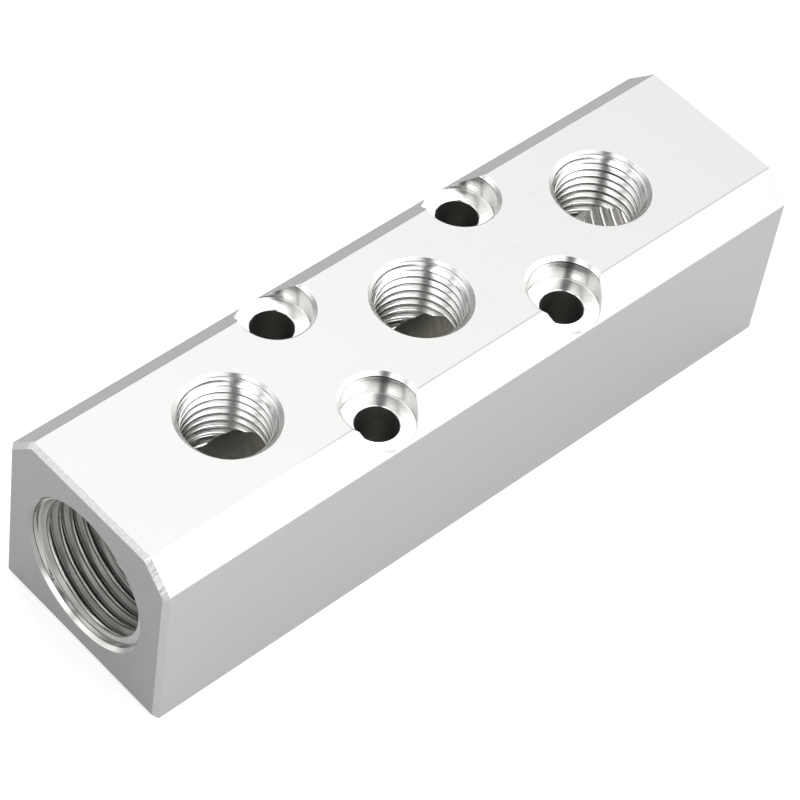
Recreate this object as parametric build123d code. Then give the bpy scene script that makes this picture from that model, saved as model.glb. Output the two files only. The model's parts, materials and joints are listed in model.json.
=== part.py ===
from build123d import *

import os
from math import radians, tan

# Air manifold block: one machined piece of square-edged aluminium bar.
# Frame: X runs along the block, Z is up, and the origin is the middle of the base.
# Lengths are in millimetres and angles in degrees.

# Bar stock
body_width = 30.0
body_height = 29.0
shoulder_cut = 4.0          # leg of the 45 degree cut along each long top edge
end_bevel = 0.65            # edge break all round both end faces

# Three outlets in a row along the middle of the top, G 1/4 parallel thread
outlet_count = 3
outlet_pitch = 32.5
outlet_to_end = 22.0        # from the first and last outlet to the end faces
outlet_thread_major = 13.157
outlet_thread_minor = 11.445
outlet_mouth_diameter = 13.9
outlet_land_depth = 0.5     # plain stretch above the thread, at its major diameter

# One inlet in each end face, G 1/2 parallel thread
inlet_thread_major = 20.955
inlet_thread_minor = 18.631
inlet_mouth_diameter = 21.9
inlet_land_depth = 1.1
inlet_bore_depth = 14.0     # from the end face to the start of the drill-point shoulder
drill_point_angle = 118.0   # full angle of that shoulder

# Gallery drilled from end to end, which joins the inlets and the outlets
gallery_diameter = 11.8
gallery_axis_height = 14.3  # above the base, the same for both inlets

# Through holes for M5 cap screws, in pairs midway between two outlets
screw_hole_diameter = 5.8
screw_hole_spacing = 20.0   # across the block
screw_head_diameter = 10.0
screw_head_depth = 3.8
screw_head_mouth_diameter = 11.0

# Worked out from the sizes above
block_length = 2 * outlet_to_end + (outlet_count - 1) * outlet_pitch
cutter_overrun = 1.0        # how far a cutter stands out of the face that it enters


def bar():
    """The blank: a section with two cut shoulders, run along X, with its end edges broken."""
    half_width = body_width / 2
    section = Polyline(
        (-half_width, 0),
        (half_width, 0),
        (half_width, body_height - shoulder_cut),
        (half_width - shoulder_cut, body_height),
        (-half_width + shoulder_cut, body_height),
        (-half_width, body_height - shoulder_cut),
        close=True,
    )
    face = Plane.YZ * make_face(section)
    blank = extrude(face, amount=block_length / 2, both=True)
    end_faces = blank.faces().sort_by(Axis.X)
    end_edges = end_faces[0].outer_wire().edges() + end_faces[-1].outer_wire().edges()
    return chamfer(end_edges, end_bevel)


def turned_cutter(*profile):
    """A cutter turned about Z from (radius, height) points, with z = 0 at the face that it enters."""
    mouth_radius = profile[0][0]
    foot_height = profile[-1][1]
    outline = Polyline((0, cutter_overrun), (mouth_radius, cutter_overrun), *profile, (0, foot_height), close=True)
    return revolve(Plane.XZ * make_face(outline), Axis.Z)


def ported_cutter(mouth_diameter, thread_major, thread_minor, land_depth, *below):
    """A port: 45 degree mouth, plain land at the thread's major size, bore at its minor size."""
    mouth = mouth_diameter / 2
    major = thread_major / 2
    minor = thread_minor / 2
    mouth_depth = mouth - major
    return turned_cutter((mouth, 0), (major, -mouth_depth), (major, -land_depth), (minor, -land_depth), *below)


def outlet_cutter():
    """An outlet port, bored down to the axis of the gallery."""
    minor = outlet_thread_minor / 2
    depth = body_height - gallery_axis_height
    return ported_cutter(
        outlet_mouth_diameter, outlet_thread_major, outlet_thread_minor, outlet_land_depth, (minor, -depth)
    )


def inlet_cutter():
    """An inlet port, with the cone that its drill leaves where it meets the gallery."""
    minor = inlet_thread_minor / 2
    gallery = gallery_diameter / 2
    cone_depth = (minor - gallery) / tan(radians(drill_point_angle / 2))
    return ported_cutter(
        inlet_mouth_diameter,
        inlet_thread_major,
        inlet_thread_minor,
        inlet_land_depth,
        (minor, -inlet_bore_depth),
        (gallery, -inlet_bore_depth - cone_depth),
    )


def screw_cutter():
    """A screw hole right through the block, with a recess for the head and a broken rim."""
    rim = screw_head_mouth_diameter / 2
    head = screw_head_diameter / 2
    hole = screw_hole_diameter / 2
    rim_depth = rim - head
    return turned_cutter(
        (rim, 0),
        (head, -rim_depth),
        (head, -screw_head_depth),
        (hole, -screw_head_depth),
        (hole, -body_height - cutter_overrun),
    )


def manifold_block():
    """The finished block: the bar with its gallery, ports and screw holes taken out."""
    block = bar()
    gallery = Plane.YZ * Cylinder(gallery_diameter / 2, block_length + 2 * cutter_overrun)
    block -= Pos(0, 0, gallery_axis_height) * gallery

    inlet = inlet_cutter()
    for side, turn in ((-1, -90), (1, 90)):
        block -= Pos(side * block_length / 2, 0, gallery_axis_height) * Rot(0, turn, 0) * inlet

    outlet = outlet_cutter()
    for place in GridLocations(outlet_pitch, 0, outlet_count, 1):
        block -= Pos(0, 0, body_height) * place * outlet

    screw = screw_cutter()
    for place in GridLocations(outlet_pitch, screw_hole_spacing, outlet_count - 1, 2):
        block -= Pos(0, 0, body_height) * place * screw
    return block


os.makedirs("parts", exist_ok=True)
export_step(manifold_block(), "parts/manifold_block.step")
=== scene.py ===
import json
import math
from collections import namedtuple

import bpy
import numpy as np
from mathutils import Matrix, Vector


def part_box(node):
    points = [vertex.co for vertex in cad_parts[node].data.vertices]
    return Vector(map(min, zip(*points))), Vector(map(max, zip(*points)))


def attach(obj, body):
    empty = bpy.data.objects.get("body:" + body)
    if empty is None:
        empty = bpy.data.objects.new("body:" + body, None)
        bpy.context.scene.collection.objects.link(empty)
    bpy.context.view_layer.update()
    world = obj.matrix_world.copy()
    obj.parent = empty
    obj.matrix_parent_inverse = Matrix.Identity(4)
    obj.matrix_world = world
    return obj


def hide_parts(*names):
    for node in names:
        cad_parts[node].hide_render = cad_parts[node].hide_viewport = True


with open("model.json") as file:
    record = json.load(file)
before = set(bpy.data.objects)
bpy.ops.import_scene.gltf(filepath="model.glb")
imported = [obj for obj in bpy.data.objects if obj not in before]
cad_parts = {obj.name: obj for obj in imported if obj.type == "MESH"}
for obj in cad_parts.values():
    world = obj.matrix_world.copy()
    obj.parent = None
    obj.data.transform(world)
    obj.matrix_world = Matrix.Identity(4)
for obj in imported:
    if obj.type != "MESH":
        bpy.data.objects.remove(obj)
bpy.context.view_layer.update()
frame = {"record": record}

# Air manifold block, dressed. Lengths are in millimetres here and become metres in the meshes.
MM = 0.001
TAU = 2 * math.pi

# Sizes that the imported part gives
node_low, node_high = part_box("manifold_block")
half_length = node_high.x / MM
half_width = node_high.y / MM
height = node_high.z / MM
mounts = {mount["name"]: mount for mount in frame["record"]["mounts"]}
outlet_places = [mounts[name]["pos_m"][0] / MM for name in ("outlet_near", "outlet_middle", "outlet_far")]
outlet_spacing = outlet_places[2] - outlet_places[1]
inlet_height = mounts["inlet_near"]["pos_m"][2] / MM
outlet_bore = mounts["outlet_near"]["dims"]["r_mm"]
inlet_bore = mounts["inlet_near"]["dims"]["r_mm"]
screw_bore = mounts["screw_holes"]["dims"]["hole_r_mm"]
screw_x = mounts["screw_holes"]["dims"]["spacing_x_mm"] / 2
screw_y = mounts["screw_holes"]["dims"]["spacing_y_mm"] / 2

# Bar
shoulder_cut = 4.0
end_bevel = 0.65
long_edge_round = 0.22
end_edge_round = 0.07

# Outlets, G 1/4. Every rim, major and bore here is a radius.
outlet_rim = 6.95
outlet_mouth_slope = 1.1  # depth gained for each millimetre inwards
outlet_major = 6.62
outlet_pitch = 1.3368
outlet_phase = 0.43 + outlet_pitch / 6  # a root is 0.43 deep a sixth of a turn before the first spoke
outlet_thread_head = 0.1
outlet_thread_foot = 13.2
outlet_plain_foot = 14.5
outlet_depth = 14.7

# Inlets, G 1/2, and the gallery
inlet_rim = 10.95
inlet_mouth_depth = 0.5
inlet_major = 10.4775
inlet_land = 1.05
land_taper = 0.02
inlet_pitch = 1.8143
inlet_phase = 0.92 - inlet_pitch * 5 / 6  # a root is 0.92 deep at five sixths of a turn
inlet_thread_head = 1.07
inlet_thread_foot = 13.2
inlet_plain_foot = 13.9
inlet_depth = 14.0
drill_point_angle = 118.0
gallery_bore = 5.9

# Screw holes
recess_rim = 5.5
recess_bore = 5.0
recess_depth = 3.8
recess_corner = 0.12

# Small steps and rates of the cutters
cutter_overrun = 1.0  # how far a cutter stands out of the face that it enters
port_break = 0.04  # how far a port's edge is broken back
recess_break = 0.03  # the same for a screw head's recess
break_depth = 0.02  # how deep both breaks go
crest_wear = 0.04  # how far a thread's crests stand back from the drilled bore
tap_taper = 0.25  # how fast the last two turns of a thread get shallower
lip_rows = 8  # rows of the mesh between a thread's head and its first turn

# Threads have 55 degrees between their flanks, and a round root whose radius is a share of the pitch
FLANK = math.radians(27.5)
ROOT_ARC = 0.137329
Thread = namedtuple("Thread", "pitch phase major bore head foot")

# The order of the finishes in the material slots
(
    DRAWN,
    MILLED,
    BEVEL,
    OUTLET_MOUTH,
    OUTLET_THREAD,
    INLET_MOUTH,
    NEAR_THREAD,
    FAR_THREAD,
    RECESS,
    BORE,
    GALLERY,
) = range(11)


def mesh_object(name, points, faces, finishes, materials):
    """An object from points in millimetres, faces as lists of point numbers, and one finish for each face."""
    mesh = bpy.data.meshes.new(name)
    mesh.from_pydata((np.asarray(points) * MM).tolist(), [], faces)
    for material in materials:
        mesh.materials.append(material)
    mesh.polygons.foreach_set("material_index", np.asarray(finishes, np.int32))
    mesh.update()
    piece = bpy.data.objects.new(name, mesh)
    bpy.context.scene.collection.objects.link(piece)
    return piece


def tube_quads(rows, columns):
    """The faces between neighbouring rings of a tube, and the ring that each one starts from. Point number =
    ring * columns + column, and the last column meets the first."""
    row, column = np.meshgrid(np.arange(rows - 1), np.arange(columns), indexing="ij")
    near, far = row * columns, (row + 1) * columns
    after = (column + 1) % columns
    quads = np.stack([near + column, near + after, far + after, far + column], -1)
    return quads.reshape(-1, 4).tolist(), row.ravel()


def end_fans(rows, columns):
    """The triangles that close a tube: from its first ring to the point numbered next after its rings, and
    from its last ring to the point after that."""
    ring = np.arange(columns)
    around = (ring + 1) % columns
    last = (rows - 1) * columns
    lid = np.stack([around, ring, np.full(columns, rows * columns)], -1)
    base = np.stack([ring + last, around + last, np.full(columns, rows * columns + 1)], -1)
    return np.concatenate([lid, base])


def turned_corners(corners, before, after, radius, steps):
    """Arcs in place of corners. Each arc's centre is the corner less radius * (before + after) /
    (1 + before . after), and its points stand off the centre by the radius, along a normal that
    turns evenly from the face before to the face after."""
    corners, before, after = (np.asarray(each, float) for each in (corners, before, after))
    lean = (before + after) / (1 + (before * after).sum(1, keepdims=True))
    start = np.arctan2(before[:, 1], before[:, 0])
    sweep = np.arctan2(after[:, 1], after[:, 0]) - start
    sweep = (sweep + math.pi) % TAU - math.pi
    angle = start[:, None] + sweep[:, None] * np.linspace(0, 1, steps)
    spoke = np.stack([np.cos(angle), np.sin(angle)], -1)
    return (corners - radius * lean)[:, None] + radius * spoke, lean


def bar(materials):
    """The bar stock: a six-sided section with rounded corners carried along X. At each station the section
    shrinks by an inset, which follows the end bevel: full inset in the end face, none past the bevel."""
    top = height - shoulder_cut
    flat = half_width - shoulder_cut
    slant = math.sqrt(0.5)
    corners = [(-half_width, 0), (half_width, 0), (half_width, top)]
    corners += [(flat, height), (-flat, height), (-half_width, top)]
    sides = [(-1, 0), (0, -1), (1, 0), (slant, slant), (0, 1), (-slant, slant)]
    section, lean = turned_corners(corners, sides, sides[1:] + sides[:1], long_edge_round, steps=5)
    end, _ = turned_corners(
        corners=[(half_length, -end_bevel), (half_length - end_bevel, 0)],
        before=[(1, 0), (slant, slant)],
        after=[(slant, slant), (0, 1)],
        radius=end_edge_round,
        steps=4,
    )
    end = end.reshape(-1, 2)
    x = np.concatenate([-end[:, 0], end[::-1, 0]])
    inset = -np.concatenate([end[:, 1], end[::-1, 1]])
    ring = section[None] - inset[:, None, None, None] * lean[None, :, None]
    stations, columns = len(x), section.shape[0] * section.shape[1]
    ring = ring.reshape(stations, columns, 2)
    points = np.concatenate([np.broadcast_to(x[:, None, None], (stations, columns, 1)), ring], -1)
    quads, row = tube_quads(stations, columns)
    finish = np.where(row == len(end) - 1, DRAWN, BEVEL)
    last = (stations - 1) * columns
    caps = [list(range(columns - 1, -1, -1)), list(range(last, last + columns))]
    return mesh_object("block", points.reshape(-1, 3), quads + caps, [*finish, MILLED, MILLED], materials)


def port_frame(mouth, inward, first):
    """Where a round hole is: its mouth's middle, its inward direction, and two directions across it.
    A turn from the first to the second is clockwise from outside, the way a right-hand thread goes in."""
    inward, first = np.array(inward, float), np.array(first, float)
    return np.array(mouth, float), inward, first, np.cross(inward, first)


def placed(port, radius, depth, angle):
    """Points of a hole's wall: the mouth's middle + depth inwards + radius along the spoke at the angle."""
    mouth, inward, first, second = port
    spoke = np.cos(angle)[..., None] * first + np.sin(angle)[..., None] * second
    return mouth + depth[..., None] * inward + radius[..., None] * spoke


def broken_edge(rim, width):
    """The start of a cutter's profile, as (radius, depth): from outside to the face, then the broken edge."""
    return [(rim + width, -cutter_overrun), (rim + width, 0), (rim, break_depth)]


def turned_cutter(port, profile, finishes, materials, columns=128):
    """A cutter whose wall is a profile of (radius, depth) turned about the hole's axis, closed by a pole at
    each end. finishes has one entry for each stretch of the profile."""
    profile = np.array(profile, float)
    rows = len(profile)
    angle = TAU * np.arange(columns) / columns
    radius = np.broadcast_to(profile[:, :1], (rows, columns))
    depth = np.broadcast_to(profile[:, 1:], (rows, columns))
    wall = placed(port, radius, depth, np.broadcast_to(angle, (rows, columns))).reshape(-1, 3)
    poles = placed(port, np.zeros(2), profile[[0, -1], 1], np.zeros(2))
    quads, _ = tube_quads(rows, columns)
    faces = quads + end_fans(rows, columns).tolist()
    finish = np.concatenate([np.repeat(finishes, columns), np.full(2 * columns, finishes[-1])])
    return mesh_object("cutter", np.concatenate([wall, poles]), faces, finish, materials)


def thread_fall(distance, pitch):
    """How far a thread's wall has come in from its root, at a distance along the axis from the root's middle:
    an arc at the root, radius - sqrt(radius^2 - distance^2), and a straight flank from there. The drilled
    bore cuts the crest flat."""
    arc = ROOT_ARC * pitch
    reach = arc * math.cos(FLANK)
    fall = arc * (1 - math.sin(FLANK))
    curve = arc - np.sqrt(np.maximum(arc**2 - distance**2, 0))
    return np.where(distance < reach, curve, fall + (distance - reach) / math.tan(FLANK))


def thread_rows(thread):
    """Where the rows of a thread's mesh fall within one pitch, counted from a root's middle: five across the
    root's arc, one in the middle of each flank, and three across the flat crest."""
    reach = ROOT_ARC * math.cos(FLANK)
    fall = ROOT_ARC * (1 - math.sin(FLANK))
    edge = reach + ((thread.major - thread.bore) / thread.pitch - fall) * math.tan(FLANK)
    half = np.array([0, reach / 2, reach, (reach + edge) / 2, edge, 0.5])
    return np.concatenate([half, 1 - half[-2:0:-1]])


def helical_faces(rows, columns, first, last, lag):
    """A thread's wall as triangles, and the row that each one starts from. From the first to the last row of
    the thread, the last column meets the first one a pitch lower, which is a lag of so many rows. The rows of
    the opening fan all start from one point."""
    number = np.arange(rows)
    lower = np.where((number >= first) & (number <= last), np.minimum(number + lag, last), number)
    index = np.concatenate([number[:, None] * columns + np.arange(columns), lower[:, None] * columns], 1)
    merged = (number >= first) & (number <= first + lag)
    index[merged, 0] = (first + lag) * columns
    a, b, c, d = index[:-1, :-1], index[:-1, 1:], index[1:, 1:], index[1:, :-1]
    wall = np.stack([np.stack([a, b, c], -1), np.stack([a, c, d], -1)], 2).reshape(-1, 3)
    row = np.broadcast_to(number[:-1, None, None], (rows - 1, columns, 2)).reshape(-1)
    whole = (wall[:, 0] != wall[:, 1]) & (wall[:, 1] != wall[:, 2]) & (wall[:, 2] != wall[:, 0])
    return wall[whole], row[whole]


def threaded_cutter(port, thread, mouth, below, finishes, materials, columns):
    """A tapped hole. Its wall's radius at an angle and depth is the largest of the bore, the mouth's profile,
    and the major radius less the thread's fall and, near its foot, the tap's taper. A root's middle is at
    phase + pitch * angle / turn. From the start on, the mesh's rows follow the thread: depth = start +
    pitch * (turns + share of a pitch + angle / turn). A fan of rows opens over the first turn, and another
    closes over the last."""
    pitch, bore = thread.pitch, thread.bore
    shares = thread_rows(thread)
    lag = len(shares)
    share = np.append(shares, 1)
    lathe = np.array(mouth)
    upper = lathe[lathe[:, 1] < thread.head]
    under = np.array(below)
    start = thread.phase + pitch * math.ceil((thread.head - thread.phase) / pitch)
    turns = math.floor((thread.foot - start) / pitch) - 1
    lead = np.arange(columns + 1)[None] / columns
    opening = start + pitch * lead * share[:, None]
    run = (np.arange(turns)[:, None] + share[None, 1:]).reshape(-1, 1)
    run = start + pitch * (run + lead)
    end = start + pitch * (turns + 1)
    closing = run[-1:] + (end - run[-1:]) * share[1:, None]
    flat = np.ones((1, columns + 1))
    lip = np.linspace(thread.head, start, lip_rows + 1)[:-1, None]
    depth = np.concatenate([upper[:, 1:] * flat, lip * flat, opening, run, closing, under[:, 1:] * flat])
    rows = len(depth)
    first, last = len(upper) + lip_rows, rows - len(under) - 1

    fraction = (depth - thread.phase) / pitch - lead
    distance = np.abs(fraction - np.round(fraction)) * pitch
    fade = np.maximum(depth - thread.foot + 2 * pitch, 0) * tap_taper
    groove = thread.major - thread_fall(distance, pitch) - fade
    turned = np.where(depth > lathe[-1, 1], bore, np.interp(depth, lathe[:, 1], lathe[:, 0]))
    radius = np.maximum(np.maximum(groove, bore), turned)
    radius[: len(upper)] = upper[:, :1]
    radius[last + 1 :] = under[:, :1]

    points = placed(port, radius, depth, np.broadcast_to(TAU * lead, depth.shape))[:, :-1].reshape(-1, 3)
    poles = placed(port, np.zeros(2), depth[[0, -1], 0], np.zeros(2))
    wall, row = helical_faces(rows, columns, first, last, lag)
    used, faces = np.unique(np.concatenate([wall, end_fans(rows, columns)]), return_inverse=True)
    points = np.concatenate([points, poles])[used]
    mouth_finish, thread_finish = finishes
    finish = np.where(row < first, mouth_finish, thread_finish)
    finish = np.concatenate([finish, np.full(2 * columns, thread_finish)])
    return mesh_object("cutter", points, faces.reshape(-1, 3).tolist(), finish, materials)


def cut(piece, cutter):
    """Takes the cutter's volume out of the piece and removes the cutter."""
    modifier = piece.modifiers.new("cut", "BOOLEAN")
    modifier.operation = "DIFFERENCE"
    modifier.solver = "MANIFOLD"
    modifier.object = cutter
    view = bpy.context.evaluated_depsgraph_get()
    spent = [piece.data, cutter.data]
    piece.data = bpy.data.meshes.new_from_object(piece.evaluated_get(view))
    piece.modifiers.clear()
    bpy.data.objects.remove(cutter)
    for mesh in spent:
        bpy.data.meshes.remove(mesh)


def outlet(x, materials):
    """An outlet: a wide countersink down to the bore, tapped from the countersink to the gallery."""
    port = port_frame((x, 0, height), (0, 0, -1), (1, 0, 0))
    bore = outlet_bore + crest_wear
    thread = Thread(outlet_pitch, outlet_phase, outlet_major, bore, outlet_thread_head, outlet_thread_foot)
    mouth_foot = break_depth + (outlet_rim - bore) * outlet_mouth_slope
    mouth = [*broken_edge(outlet_rim, port_break), (bore, mouth_foot)]
    below = [(outlet_bore, outlet_plain_foot), (outlet_bore, outlet_depth)]
    return threaded_cutter(port, thread, mouth, below, (OUTLET_MOUTH, OUTLET_THREAD), materials, columns=96)


def inlet(side, materials):
    """An inlet: a short mouth cone, a plain land, the tapped bore and the drill's cone into the gallery."""
    port = port_frame((side * half_length, 0, inlet_height), (-side, 0, 0), (0, 1, 0))
    bore = inlet_bore + crest_wear
    thread = Thread(inlet_pitch, inlet_phase, inlet_major, bore, inlet_thread_head, inlet_thread_foot)
    land = [(inlet_major + land_taper, inlet_mouth_depth), (inlet_major, inlet_land)]
    mouth = broken_edge(inlet_rim, port_break) + land
    cone_foot = inlet_depth + (inlet_bore - gallery_bore) / math.tan(math.radians(drill_point_angle / 2))
    below = [(inlet_bore, inlet_plain_foot), (inlet_bore, inlet_depth), (gallery_bore, cone_foot)]
    finishes = (INLET_MOUTH, NEAR_THREAD if side < 0 else FAR_THREAD)
    return threaded_cutter(port, thread, mouth, below, finishes, materials, columns=128)


def gallery(materials):
    """The drilled way from end to end."""
    port = port_frame((-half_length - cutter_overrun, 0, inlet_height), (1, 0, 0), (0, 1, 0))
    profile = [(gallery_bore, 0), (gallery_bore, 2 * (half_length + cutter_overrun))]
    return turned_cutter(port, profile, [GALLERY], materials)


def screw_hole(x, y, materials):
    """A screw hole with its head's recess and the recess's broken rim."""
    port = port_frame((x, y, height), (0, 0, -1), (1, 0, 0))
    profile = [
        *broken_edge(recess_rim, recess_break),
        (recess_bore, recess_rim - recess_bore),
        (recess_bore, recess_depth - recess_corner),
        (recess_bore - recess_corner / 3, recess_depth - recess_corner / 3),
        (recess_bore - recess_corner, recess_depth),
        (screw_bore + recess_corner, recess_depth),
        (screw_bore, recess_depth + recess_corner),
        (screw_bore, height + cutter_overrun),
    ]
    finishes = [RECESS] * (len(profile) - 2) + [BORE]
    return turned_cutter(port, profile, finishes, materials)


class Value:
    """A node's output. Arithmetic on it adds the Math node that works it out, or the Vector Math node where
    either side is a vector."""

    def __init__(self, nodes, socket):
        self.nodes = nodes
        self.socket = socket

    def __add__(self, other):
        return self.nodes.math("ADD", self, other)

    __radd__ = __add__

    def __sub__(self, other):
        return self.nodes.math("SUBTRACT", self, other)

    def __rsub__(self, other):
        return self.nodes.math("SUBTRACT", other, self)

    def __mul__(self, other):
        return self.nodes.math("MULTIPLY", self, other)

    __rmul__ = __mul__

    def __truediv__(self, other):
        return self.nodes.math("DIVIDE", self, other)

    def __abs__(self):
        return self.nodes.math("ABSOLUTE", self)

    def __gt__(self, other):
        return self.nodes.math("GREATER_THAN", self, other)

    def __lt__(self, other):
        return self.nodes.math("LESS_THAN", self, other)

    def floor(self):
        return self.nodes.math("FLOOR", self)

    def rounded(self):
        return self.nodes.math("ROUND", self)

    def sign(self):
        return self.nodes.math("SIGN", self)

    def exp(self):
        return self.nodes.math("EXPONENT", self)

    def between(self, start, end, low=0.0, high=1.0):
        """A smooth climb from low to high while this value goes from start to end."""
        sockets = {"Value": self, "From Min": start, "From Max": end, "To Min": low, "To Max": high}
        return self.nodes.node("ShaderNodeMapRange", {"interpolation_type": "SMOOTHSTEP"}, sockets)

    def cross(self, other):
        return self.nodes.math("CROSS_PRODUCT", self, other)

    def dot(self, other):
        sides = {0: self, 1: other}
        return self.nodes.node("ShaderNodeVectorMath", {"operation": "DOT_PRODUCT"}, sides, "Value")

    def length(self):
        return self.nodes.node("ShaderNodeVectorMath", {"operation": "LENGTH"}, {0: self}, "Value")

    def normalized(self):
        return self.nodes.math("NORMALIZE", self)


def is_vector(side):
    """Whether one side of a sum is a vector: a tuple of numbers, or a vector socket."""
    return isinstance(side, tuple) or isinstance(side, Value) and side.socket.type == "VECTOR"


class Nodes:
    """A node tree: node() adds any node, and math() the arithmetic that Value asks for."""

    def __init__(self, tree):
        self.tree = tree

    def node(self, kind, settings=None, sockets=None, output=0):
        """Adds a node: its settings first, then the values or links of its sockets."""
        node = self.tree.nodes.new(kind)
        for name, value in (settings or {}).items():
            setattr(node, name, value)
        for key, value in (sockets or {}).items():
            self.link(node.inputs[key], value)
        return Value(self, node.outputs[output])

    def link(self, socket, value):
        """Feeds a socket: a link from a Value, and a plain number or colour otherwise."""
        if isinstance(value, Value):
            self.tree.links.new(value.socket, socket)
        else:
            socket.default_value = value

    def math(self, operation, *sides):
        """A Math node where all sides are numbers, and otherwise a Vector Math node. A vector times a number
        is its Scale."""
        settings, sockets = {"operation": operation}, dict(enumerate(sides))
        vectors = [is_vector(side) for side in sides]
        if not any(vectors):
            return self.node("ShaderNodeMath", settings, sockets)
        if operation == "MULTIPLY" and not all(vectors):
            vector, scale = sides if vectors[0] else sides[::-1]
            return self.node("ShaderNodeVectorMath", {"operation": "SCALE"}, {0: vector, "Scale": scale})
        return self.node("ShaderNodeVectorMath", settings, sockets)

    def vector(self, x, y, z):
        return self.node("ShaderNodeCombineXYZ", sockets={0: x, 1: y, 2: z})


class Finish(Nodes):
    """One material's nodes. What is the same all over the surface is set on the shader's own sockets."""

    def __init__(self, name, **fixed):
        self.material = bpy.data.materials.new(name)
        self.material.use_nodes = True
        super().__init__(self.material.node_tree)
        self.shader = self.tree.nodes["Principled BSDF"]
        for socket, value in fixed.items():
            self.shader.inputs[socket.replace("_", " ").title()].default_value = value

    def place(self):
        """The point on the block in millimetres, as a vector and as its three numbers."""
        point = self.node("ShaderNodeTexCoord", output="Object") * (1 / MM)
        parts = [self.node("ShaderNodeSeparateXYZ", sockets={0: point}, output=axis) for axis in "XYZ"]
        return point, *parts

    def normal(self):
        return self.node("ShaderNodeNewGeometry", output="Normal")

    def noise(self, point, scale, detail=2.0):
        """Smooth noise from 0 to 1."""
        return self.node("ShaderNodeTexNoise", sockets={"Vector": point, "Scale": scale, "Detail": detail})

    def dice(self, number):
        """A random value from 0 to 1 for each number, the same each time that number comes."""
        return self.node("ShaderNodeTexWhiteNoise", {"noise_dimensions": "1D"}, {"W": number}, "Value")

    def grooves(self, normal, across, along, spacing, slope):
        """A normal leaned across fine parallel tool marks. Each mark is one step of the spacing along the
        coordinate, and leans by its own random share of the slope."""
        step = (along / spacing).floor()
        lean = self.dice(step) + self.dice(step + 0.5) - 1
        return normal + across * (lean * slope)

    def face(self, base, share, normal):
        """Gives the shader its base colour, times a share that changes over the surface, and its normal."""
        self.link(self.shader.inputs["Base Color"], self.vector(*base) * share)
        self.link(self.shader.inputs["Normal"], normal.normalized())
        return self.material


# A hole's axis, from the point's three numbers: its centre, its outward direction, the spoke from which turns
# are counted, and the point's depth
def outlet_axis(finish, x, y, z):
    """The nearest outlet."""
    nearest = (x / outlet_spacing).rounded() * outlet_spacing
    up, along = finish.vector(0.0, 0.0, 1.0), finish.vector(1.0, 0.0, 0.0)
    return finish.vector(nearest, 0.0, 0.0), up, along, height - z


def inlet_axis(finish, x, y, z):
    """The inlet on the point's side of the middle."""
    out, across = finish.vector(x.sign(), 0.0, 0.0), finish.vector(0.0, 1.0, 0.0)
    return finish.vector(0.0, 0.0, inlet_height), out, across, half_length - abs(x)


def screw_axis(finish, x, y, z):
    """The screw hole in the point's quarter of the block."""
    up, along = finish.vector(0.0, 0.0, 1.0), finish.vector(1.0, 0.0, 0.0)
    return finish.vector(x.sign() * screw_x, y.sign() * screw_y, 0.0), up, along, height - z


Tap = namedtuple("Tap", "pitch phase marks slope dark")


def turned_finish(name, axis, base, roughness, spacing, slope, lift=None, tap=None, tone=None):
    """Bare turned metal, with tool marks round the hole's axis. The slope of the marks is a number or comes
    from the depth. A tap leaves marks of its own that run along the thread, so many to a pitch, with their
    greatest slope and darkness; each turn repeats them. place counts pitches down the thread, and is whole
    in the middle of a root. lift, from the depth and the place, leans the normal outwards, and tone, from
    the depth, the place and the height, is the colour's share."""
    finish = Finish(name, metallic=1, roughness=roughness)
    point, x, y, z = finish.place()
    centre, outward, first, depth = axis(finish, x, y, z)
    spoke = point - centre
    spoke = spoke - outward * spoke.dot(outward)
    around = spoke.cross(outward).normalized()
    normal = finish.normal()
    across = normal.cross(around)
    slope = slope(depth) if callable(slope) else slope
    marked = finish.grooves(normal, across, depth - spoke.length(), spacing, slope)
    share = finish.noise(point, 2.5) * 0.16 + 0.92
    place = None
    if tap:
        turn = finish.math("ARCTAN2", spoke.dot(first.cross(outward)), spoke.dot(first)) / TAU
        place = (depth - tap.phase) / tap.pitch - turn
        mark = finish.math("FLOORED_MODULO", (place * tap.marks).floor(), float(tap.marks))
        marked = marked + across * ((finish.dice(mark + 0.25) - 0.5) * (2 * tap.slope))
        share = share * (1 - finish.dice(mark + 0.75) * tap.dark)
    if lift:
        marked = marked + outward * lift(depth, place)
    if tone:
        share = share * tone(depth, place, z)
    return finish.face(base, share, marked)


def line(coordinate, middle, half, dark):
    """A thin dark line across a coordinate: 1 - dark within half of its middle, and 1 elsewhere."""
    return 1 - (abs(coordinate - middle) < half) * dark


def from_root(place):
    """How far a place on a thread is from the nearest root's middle, from 0 to 0.5 in the crest's middle."""
    return abs(place - place.rounded())


def inlet_mouth_shade_and_highlight(depth, place, z):
    """Painted shade and highlight: a dark line at the step from the cone to the land stands for the shade in
    that corner, the low side is painted brighter, the cone most, and the rest of the cone a little darker.
    """
    # painted highlight on the low side of the mouth
    toned_band = z.between(inlet_height - 6.5, inlet_height - 9.0)
    cone = depth.between(inlet_mouth_depth + 0.03, inlet_mouth_depth)
    # painted shade in the corner between the cone and the land
    step = line(depth, inlet_mouth_depth + 0.04, 0.05, 0.8)
    return step * (1 + cone * (toned_band * 0.9 - 0.15) + toned_band * 0.15)


def inlet_land_lift(depth, place):
    """The land shines as if it was turned with a taper."""
    return depth.between(inlet_mouth_depth, inlet_mouth_depth + 0.06, 0.0, 0.4)


def inlet_crest_lift(depth, place):
    """The middle of each crest is rolled over towards the mouth."""
    return (from_root(place) > 0.455) * 0.5


def inlet_thread_shade_and_highlight(depth, place, z):
    """Painted shade as dark lines in the roots and at the crests' edges, and a painted highlight on the
    crests.
    """
    away = from_root(place)
    # painted shade in the roots and at the crests' edges, and a painted highlight on the crests
    edges = line(away, 0.02, 0.03, 0.8) * line(away, 0.375, 0.025, 0.7)
    return edges * (1 + (away > 0.44) * 1.2)


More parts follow.
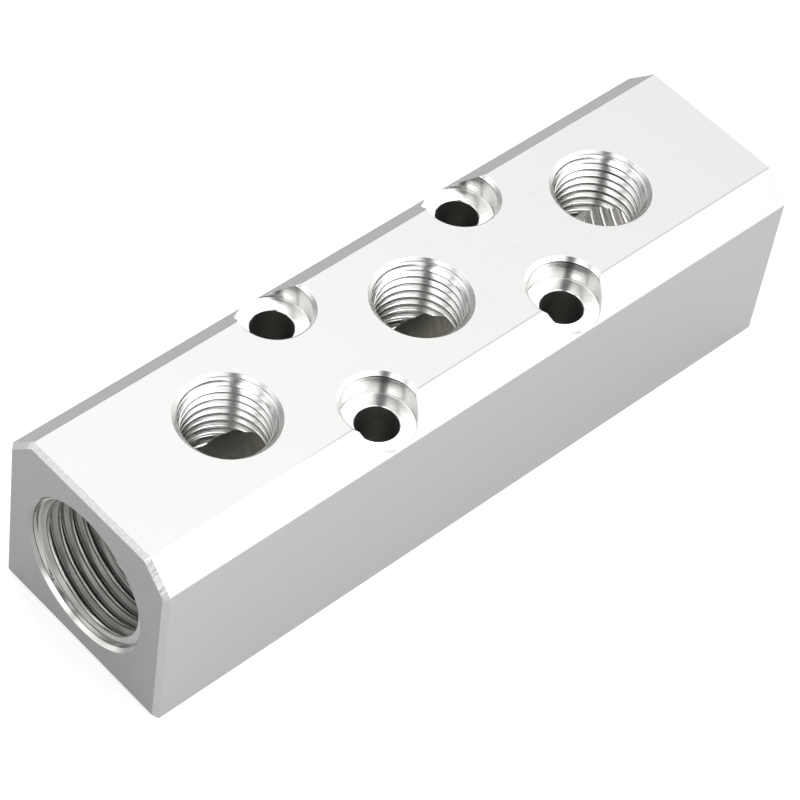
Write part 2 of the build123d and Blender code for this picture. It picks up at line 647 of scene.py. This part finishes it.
def recess_rim_shade(depth, place, z):
    """Painted shade: a dark line in the corner under the broken rim."""
    # painted shade under the rim
    return line(depth, recess_rim - recess_bore + 0.1, 0.1, 0.65)


def recess_slope(depth):
    """The wall shows the tool's marks, and the floor is nearly smooth."""
    return depth.between(recess_depth - recess_corner, recess_depth - recess_corner / 2, 0.2, 0.06)


def inlet_thread_finish(name, base, roughness, tap_dark):
    """An inlet's thread, with tap marks and rolled crests."""
    return turned_finish(
        name,
        inlet_axis,
        base,
        roughness,
        spacing=0.03,
        slope=0.2,
        lift=inlet_crest_lift,
        tap=Tap(inlet_pitch, inlet_phase, marks=13, slope=0.35, dark=tap_dark),
        tone=inlet_thread_shade_and_highlight,
    )


def drawn_finish(name, base, roughness):
    """The bar's long faces: extrusion lines along X, faint and broken. A few longer scratches lie on the top
    between the second and third outlets. Along the edge over the front shoulder the colour is darker, but for
    its near end."""
    finish = Finish(name, metallic=1, roughness=roughness, specular_tint=(0.58, 0.58, 0.58, 1))
    point, x, y, z = finish.place()
    normal = finish.normal()
    broken = finish.noise(finish.vector(x * 0.09, y * 2.2, z * 2.2), 1.0).between(0.45, 0.7)
    around = y + z * 1.7  # changes across the lines on every long face
    marked = finish.grooves(normal, normal.cross((1.0, 0.0, 0.0)), around, 0.03, broken * 0.08)
    scratched = finish.noise(finish.vector(x * 0.22, y * 4.5, z), 1.0, 3.0).between(0.54, 0.66)
    area = x.between(-6, 6) * x.between(44, 30) * y.between(-10, -6) * y.between(9, 5)
    edge = abs(y + half_width - shoulder_cut).between(0.12, 0.04)
    toned_band = edge * x.between(-34, -22) * z.between(20, 22)
    share = 1 - scratched * area * 0.05 - toned_band * 0.34
    return finish.face(base, share, marked)


def milled_finish(name, base, roughness):
    """The end faces: wide arcs of a face mill about a centre past the front edge, and a faint cloudiness."""
    finish = Finish(name, metallic=1, roughness=roughness)
    point, x, y, z = finish.place()
    arc = finish.vector(0.0, y + 40, z - 10).length()
    marked = finish.grooves(finish.normal(), finish.vector(0.0, 1.0, 0.2), arc, 0.11, 0.03)
    cloud = finish.noise(finish.vector(x, y * 0.5, z * 0.16), 1.0, 3.0) * 0.12
    grain = finish.noise(point, 5.0) * 0.1
    return finish.face(base, cloud + grain + 0.89, marked)


def bevel_finish(name, base, roughness):
    """The broken end edges, with chatter marks. Along the top and the front shoulder they are coloured
    brighter, a painted highlight, and more speckled."""
    finish = Finish(name, metallic=1, roughness=roughness)
    point, x, y, z = finish.place()
    chatter = finish.grooves(finish.normal(), finish.vector(0.0, 1.0, -0.4), y + z * 0.25, 0.22, 0.13)
    # painted highlight: the upper part of the end bevels is coloured brighter
    painted_lit_top = z.between(24, 26) * y.between(12, 11)
    speckle = 1 + (finish.noise(point, 4.5, 3.0).between(0.3, 0.7) - 0.5) * (painted_lit_top * 0.22 + 0.05)
    return finish.face(base, speckle * (1 + painted_lit_top * 0.5), chatter)


def all_finishes():
    """Every finish, in the order of the material slots."""
    outlet_tap = Tap(outlet_pitch, outlet_phase, marks=11, slope=0.4, dark=0.3)
    return [
        drawn_finish("drawn_face", (0.473, 0.472, 0.466), 0.36),
        # The end faces' base colour is darker than the long faces': painted shade on the ends.
        milled_finish("milled_end", (0.26, 0.259, 0.255), 0.38),
        bevel_finish("end_bevel", (0.385, 0.383, 0.376), 0.33),
        turned_finish("outlet_mouth", outlet_axis, (0.64, 0.638, 0.628), 0.2, spacing=0.02, slope=0.3),
        turned_finish(
            "outlet_thread", outlet_axis, (0.86, 0.858, 0.845), 0.16, spacing=0.03, slope=0.12, tap=outlet_tap
        ),
        turned_finish(
            "inlet_mouth",
            inlet_axis,
            (0.35, 0.347, 0.338),
            0.16,
            spacing=0.02,
            slope=0.15,
            lift=inlet_land_lift,
            tone=inlet_mouth_shade_and_highlight,
        ),
        inlet_thread_finish("near_thread", (0.42, 0.414, 0.397), 0.33, tap_dark=0.38),
        # The far inlet's thread is a much brighter copy of the near one's finish: painted light.
        inlet_thread_finish("far_thread", (0.93, 0.92, 0.895), 0.5, tap_dark=0.1),
        turned_finish(
            "screw_recess",
            screw_axis,
            (0.72, 0.717, 0.706),
            0.16,
            spacing=0.012,
            slope=recess_slope,
            tone=recess_rim_shade,
        ),
        # The screw holes' bores are coloured dark: painted shade in the deep holes.
        turned_finish("drilled_hole", screw_axis, (0.42, 0.417, 0.4), 0.38, spacing=0.2, slope=0.05),
        # The gallery is coloured near white: painted light in the bore.
        turned_finish("gallery", inlet_axis, (0.9, 0.89, 0.85), 0.35, spacing=0.3, slope=0.08),
    ]


def dressed_block():
    """The bar with its gallery, ports and screw holes cut, and normals that keep its flat faces flat."""
    materials = all_finishes()
    block = bar(materials)
    cut(block, gallery(materials))
    for side in (-1, 1):
        cut(block, inlet(side, materials))
    for x in outlet_places:
        cut(block, outlet(x, materials))
    for x in (-screw_x, screw_x):
        for y in (-screw_y, screw_y):
            cut(block, screw_hole(x, y, materials))
    block.data.shade_smooth()
    block.data.set_sharp_from_angle(angle=math.radians(38))
    even = block.modifiers.new("even_normals", "WEIGHTED_NORMAL")
    even.keep_sharp = True
    even.mode = "FACE_AREA"
    even.weight = 100
    return block


def studio_floor():
    """A pale sheet that also glows a little."""
    reach = 3.0
    corners = [(-reach, -reach, 0), (reach, -reach, 0), (reach, reach, 0), (-reach, reach, 0)]
    mesh = bpy.data.meshes.new("floor")
    mesh.from_pydata(corners, [], [(0, 1, 2, 3)])
    floor = bpy.data.objects.new("floor", mesh)
    bpy.context.scene.collection.objects.link(floor)
    paper = bpy.data.materials.new("floor_paper")
    paper.use_nodes = True
    shader = paper.node_tree.nodes["Principled BSDF"]
    shader.inputs["Base Color"].default_value = (0.5, 0.5, 0.5, 1)
    shader.inputs["Roughness"].default_value = 0.9
    shader.inputs["Emission Color"].default_value = (1, 1, 1, 1)
    shader.inputs["Emission Strength"].default_value = 0.57
    mesh.materials.append(paper)
    return floor


# The studio is a white tent. Patches have an azimuth counted from X towards Y, an elevation and a width in
# degrees, and then their brightness, or the share of light that they take away
tent_brightness = 1.6
bright_patches = ((297.5, 47.5, 28, 1.34), (60, 47.6, 21.9, 1.88), (299.3, 0, 12, 1.98), (196, 24, 10, 2.0))
dark_patches = ((68, 0, 42, 1.0), (113, 15, 20, 0.65), (245, 45, 14, 0.3), (150, 72, 13, 0.55))
# Upright dark gaps: an azimuth in degrees, the sines of the half width and of the blur of the edges, and the
# share of light that they take away
dark_gaps = ((220, 0.15, 0.09, 0.87), (164, 0.07, 0.05, 0.5))


def pointing(azimuth, elevation):
    """A direction from its angles in degrees."""
    turn, rise = math.radians(azimuth), math.radians(elevation)
    return math.cos(turn) * math.cos(rise), math.sin(turn) * math.cos(rise), math.sin(rise)


def soft_patch(direction, azimuth, elevation, width):
    """A round soft patch, 1 in its middle: exp((direction . middle - 1) / (1 - cos width))."""
    reach = 1 - math.cos(math.radians(width))
    return ((direction.dot(pointing(azimuth, elevation)) - 1) * (1 / reach)).exp()


def studio_light():
    """The tent, its bright and dark patches, and its gaps, as the strength of the sky in each direction."""
    world = bpy.data.worlds.new("studio")
    bpy.context.scene.world = world
    world.use_nodes = True
    sky = Nodes(world.node_tree)
    direction = sky.node("ShaderNodeTexCoord", output="Generated")
    tent = tent_brightness
    for azimuth, elevation, width, brightness in bright_patches:
        tent = soft_patch(direction, azimuth, elevation, width) * brightness + tent
    for azimuth, elevation, width, share in dark_patches:
        tent = tent * (1 - soft_patch(direction, azimuth, elevation, width) * share)
    for azimuth, reach, blur, share in dark_gaps:
        beside = abs(direction.dot(pointing(azimuth + 90, 0))).between(reach + blur, reach - blur)
        ahead = direction.dot(pointing(azimuth, 0)).between(-0.1, 0.15)
        tent = tent * (1 - beside * ahead * share)
    backdrop = world.node_tree.nodes["Background"]
    backdrop.inputs["Color"].default_value = (1, 1, 1, 1)
    sky.link(backdrop.inputs["Strength"], tent)


# The camera's place, aim and roll, solved from the edges and port rims in the photograph
camera_place = np.array([-212.067, -178.062, 330.511])
camera_aim = np.array([-4.310, -2.987, 14.5])
camera_roll = 9.776
camera_lens = 144.391  # on a sensor 36 mm wide


def photo_camera():
    """The camera: it looks from its place to its aim, and then rolls about that line."""
    camera = bpy.data.objects.new("camera", bpy.data.cameras.new("camera"))
    camera.data.lens = camera_lens
    camera.data.sensor_width = 36
    camera.data.clip_start = 0.01
    camera.data.clip_end = 20
    looking = Vector(camera_aim - camera_place).normalized().to_track_quat("-Z", "Y").to_matrix()
    camera.location = camera_place * MM
    camera.rotation_euler = (looking @ Matrix.Rotation(math.radians(camera_roll), 3, "Z")).to_euler()
    bpy.context.scene.collection.objects.link(camera)
    bpy.context.scene.camera = camera


block = dressed_block()
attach(block, "root")
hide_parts("manifold_block")
studio_floor()
studio_light()
photo_camera()
bpy.context.scene.view_settings.view_transform = "Standard"
